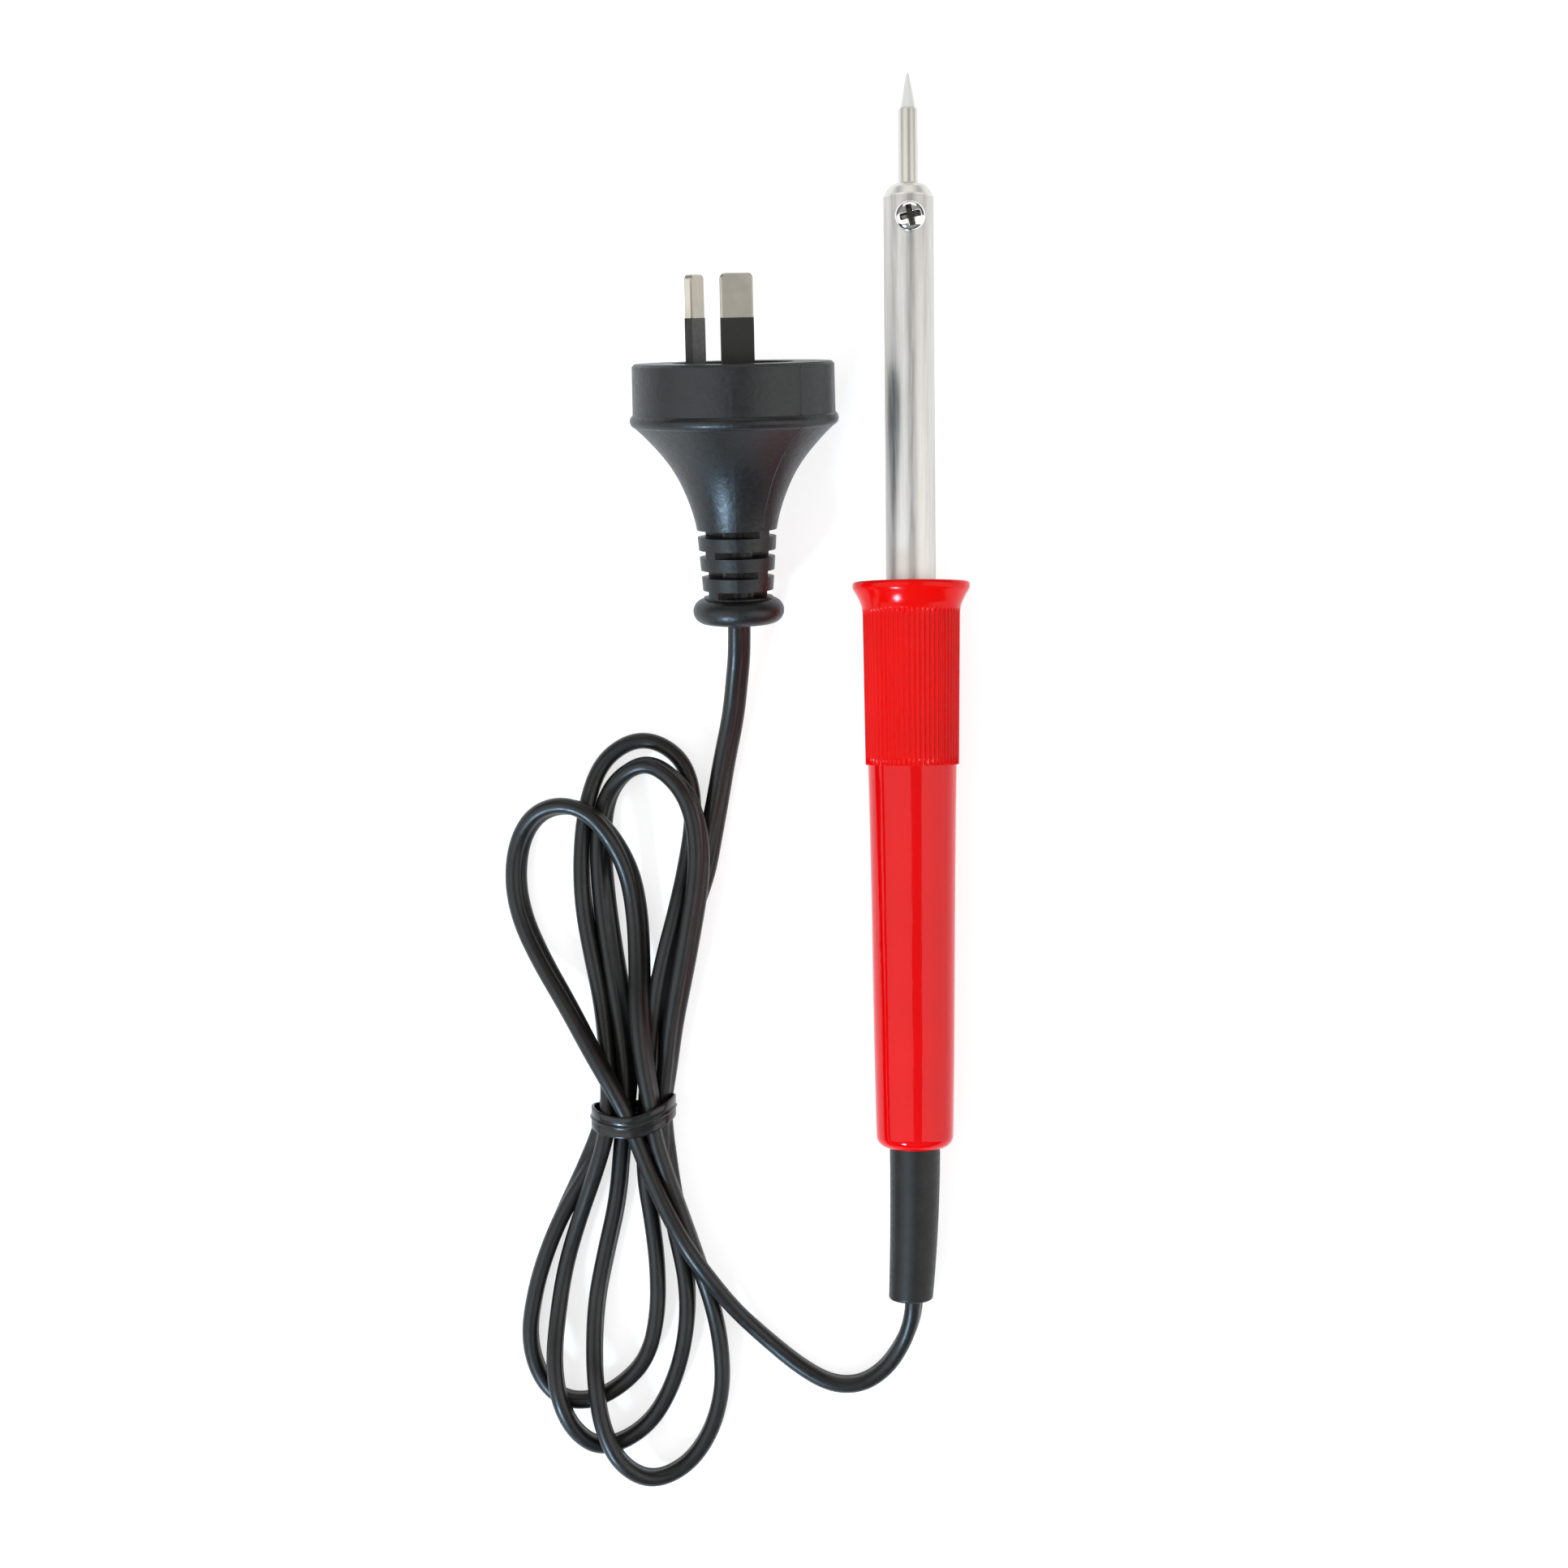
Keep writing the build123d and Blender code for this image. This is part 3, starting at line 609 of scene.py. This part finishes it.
def grip_rings():
    """Close rings where the flutes run in, then few along the straight ribs."""
    straight = GRIP_REAR - STRAIGHT_START
    stations = CLOSE_RINGS + [
        STRAIGHT_START + straight * step / STRAIGHT_RINGS for step in range(STRAIGHT_RINGS + 1)
    ]
    fine = []
    for (start, low), (end, high) in zip(collar_profile, collar_profile[1:]):
        pieces = FINE_PIECES if start <= FINE_FROM else 1
        fine += [
            (start + (end - start) * part / pieces, low + (high - low) * part / pieces)
            for part in range(pieces)
        ]
    fine.append(collar_profile[-1])
    slope = (GRIP_REAR_RADIUS - RIBS_START_RADIUS) / (GRIP_REAR - RIBS_START)
    fine += [
        (station, RIBS_START_RADIUS + slope * (station - RIBS_START)) for station in stations
    ]
    rings = [grip_ring(station, radius) for station, radius in fine]
    along, inward = GRIP_REAR_BEVEL
    rings.append(grip_ring(GRIP_REAR - along, GRIP_REAR_RADIUS - inward, fluted=False))
    rings.append(grip_ring(GRIP_REAR - along, GRIP_REAR_BORE, fluted=False))
    return rings


grip = make_mesh("ribbed_grip", *skin(grip_rings(), capped=False), red_grip, slot="grip_red")
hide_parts("grip_sleeve")


# ---- clamp screw ----------------------------------------------------------------------
# Its lengths are in millimetres in the iron's own frame.
SCREW_STATION = 71.6
SHANK_RADIUS = 1.5
SHANK_END = 2.05
HEAD_RADIUS = 3.0
HEAD_UNDERSIDE = 5.6
HEAD_HEIGHT = 2.1
HEAD_SIDE = 0.75
HEAD_UNDER_BEVEL = 0.1
NECK_FILLET = 0.05
RECESS_TWIST = math.radians(13)
RECESS_HALF_LENGTH = 2.1
RECESS_HALF_WIDTH = 0.6
RECESS_DEPTH = 1.1
RECESS_WALL_RUN = 0.22  # how far its walls lean in
RECESS_END_RUN = 0.3
HEAD_STEPS = 120
DOME_RINGS = 64


def recess_cut(across, along):
    """How deep the crossed slots are there: their walls lean in and their ends are rounded."""
    turned = (
        across * math.cos(RECESS_TWIST) + along * math.sin(RECESS_TWIST),
        along * math.cos(RECESS_TWIST) - across * math.sin(RECESS_TWIST),
    )
    cuts = []
    for lengthwise, sidewise in (turned, turned[::-1]):
        wall = share(RECESS_HALF_WIDTH - abs(sidewise), RECESS_WALL_RUN)
        end = share(RECESS_HALF_LENGTH - abs(lengthwise), RECESS_END_RUN)
        cuts.append(wall * end)
    return RECESS_DEPTH * max(cuts)


def screw_ring(radius, height, cut=False):
    """A ring of the screw at a height over the iron's axis."""
    ring = []
    for step in range(HEAD_STEPS):
        angle = 2 * math.pi * step / HEAD_STEPS
        across, along = radius * math.cos(angle), radius * math.sin(angle)
        level = height - (recess_cut(across, along) if cut else 0.0)
        ring.append(iron_frame @ (Vector((across, level, SCREW_STATION + along)) * MM))
    return ring


def screw_rings():
    """The screw from its shank's end, round the head's underside and side, over the dome."""
    rings = [
        screw_ring(SHANK_RADIUS, SHANK_END),
        screw_ring(SHANK_RADIUS, HEAD_UNDERSIDE - NECK_FILLET),
        screw_ring(SHANK_RADIUS + NECK_FILLET, HEAD_UNDERSIDE),
        screw_ring(HEAD_RADIUS - HEAD_UNDER_BEVEL, HEAD_UNDERSIDE),
        screw_ring(HEAD_RADIUS, HEAD_UNDERSIDE + HEAD_UNDER_BEVEL),
    ]
    dome = HEAD_HEIGHT - HEAD_SIDE
    for step in range(DOME_RINGS):
        slant = math.pi / 2 * step / DOME_RINGS
        radius = HEAD_RADIUS * math.cos(slant)
        height = HEAD_UNDERSIDE + HEAD_SIDE + dome * math.sin(slant)
        rings.append(screw_ring(radius, height, cut=True))
    return rings


pan_head = make_mesh(
    "pan_head", *skin(screw_rings()), chrome_material(), body="tip_screw", slot="screw_chrome"
)
# Painted shade: each point on the head's top keeps how deep the cross slots are cut there, and the
# plating's colour darkens with it.
recess_shade = pan_head.data.attributes.new(RECESS_SHADE_ATTRIBUTE, "FLOAT", "POINT")
to_iron = iron_frame.inverted()
for vertex, depth in zip(pan_head.data.vertices, recess_shade.data):
    local = to_iron @ vertex.co / MM
    if local.y > HEAD_UNDERSIDE + 2 * HEAD_UNDER_BEVEL:
        depth.value = recess_cut(local.x, local.z - SCREW_STATION) / RECESS_DEPTH
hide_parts("tip_screw")


# ---- plug's parting line --------------------------------------------------------------
SEAM_ANGLES = (49, 229)  # degrees from the plug's right, seen from behind its face
SEAM_HALF_WIDTH = 0.16 * MM
SEAM_HEIGHT = 0.09 * MM
SEAM_SINK = 0.1 * MM
SEAM_START = -0.7
SEAM_LENGTH = 31.6
SEAM_RINGS = 90
OUTSIDE_PLUG = 30


def seam_rings(angle):
    """A low ridge that follows the plug's outside from its face to the first slot."""
    body = frame["nodes"]["plug_body"]
    to_body = body.matrix_world.inverted()
    radial = Vector((math.cos(angle), math.sin(angle), 0))
    sideways = Vector((-radial.y, radial.x, 0))
    rings = []
    for step in range(SEAM_RINGS):
        station = SEAM_START - SEAM_LENGTH * step / (SEAM_RINGS - 1)
        start = plug_frame @ ((radial * OUTSIDE_PLUG + Vector((0, 0, station))) * MM)
        inward = (plug_frame.to_3x3() @ -radial).normalized()
        found, place, normal, _ = body.ray_cast(to_body @ start, to_body.to_3x3() @ inward)
        if not found:
            continue
        place = body.matrix_world @ place
        normal = (body.matrix_world.to_3x3() @ normal).normalized()
        side = plug_frame.to_3x3() @ sideways * SEAM_HALF_WIDTH
        sunk = place - normal * SEAM_SINK
        top = place + normal * SEAM_HEIGHT
        rings.append([sunk - side, place - side, top, place + side, sunk + side])
    return rings


for index, seam_angle in enumerate(SEAM_ANGLES):
    ridge = skin(seam_rings(math.radians(seam_angle)))
    make_mesh(f"parting_line_{index}", *ridge, plug_skin, slot="plug_pvc")


# ---- floor and lights -----------------------------------------------------------------
def softbox(name, place, size, radiance, color=(1, 1, 1)):
    """A rectangular light that faces the object, as bright as the radiance says."""
    data = bpy.data.lights.new(name, "AREA")
    data.shape = "RECTANGLE"
    data.size, data.size_y = size
    data.energy = radiance * math.pi * size[0] * size[1]
    data.color = color
    lamp = bpy.data.objects.new(name, data)
    lamp.location = place
    lamp.rotation_euler = (-Vector(place)).to_track_quat("-Z", "Y").to_euler()
    scene.collection.objects.link(lamp)


FLOOR_REACH = 6.0
FLOOR_DROP = 0.3 * MM  # just under the lowest pieces
FLOOR_GLOW = 0.72


def floor_piece():
    """A plain pale floor that glows enough to stay almost free of shadow."""
    mesh = bpy.data.meshes.new("floor")
    corners = [(across * FLOOR_REACH, along * FLOOR_REACH, 0)
               for across, along in ((-1, -1), (1, -1), (1, 1), (-1, 1))]
    mesh.from_pydata(corners, [], [(0, 1, 2, 3)])
    finish = Finish("pale_floor", (0.5, 0.5, 0.5), 0.85)
    finish.shader.inputs["Emission Color"].default_value = (1, 1, 1, 1)
    finish.shader.inputs["Emission Strength"].default_value = FLOOR_GLOW
    mesh.materials.append(finish.vary_color(0.5, 0.004).material)
    floor = bpy.data.objects.new("floor", mesh)
    floor.location.z = -FLOOR_DROP
    scene.collection.objects.link(floor)


def studio_world():
    """A dim room: dark near the horizon, grey overhead."""
    world = bpy.data.worlds.new("studio")
    world.use_nodes = True
    nodes, links = world.node_tree.nodes, world.node_tree.links
    place = nodes.new("ShaderNodeTexCoord")
    split = nodes.new("ShaderNodeSeparateXYZ")
    shades = nodes.new("ShaderNodeValToRGB")
    stops = [(0.0, 0.05), (0.25, 0.1), (0.5, 0.3), (0.8, 0.35), (1.0, 0.28)]
    while len(shades.color_ramp.elements) < len(stops):
        shades.color_ramp.elements.new(0.5)
    for element, (position, grey) in zip(shades.color_ramp.elements, stops):
        element.position = position
        element.color = (grey, grey, grey, 1)
    links.new(place.outputs["Generated"], split.inputs["Vector"])
    links.new(split.outputs["Z"], shades.inputs["Fac"])
    links.new(shades.outputs["Color"], nodes["Background"].inputs["Color"])
    scene.world = world


floor_piece()
softbox("left_softbox", (-0.80, -0.10, 0.80), (0.95, 1.7), 1.35)
softbox("right_softbox", (1.00, -0.15, 0.68), (0.95, 1.7), 1.65)
softbox("far_softbox", (0.0, 1.35, 0.62), (1.3, 0.7), 1.3)
softbox("cool_key", (-0.60, -0.90, 0.70), (0.2, 0.2), 150, (0.5, 0.76, 1.0))
studio_world()
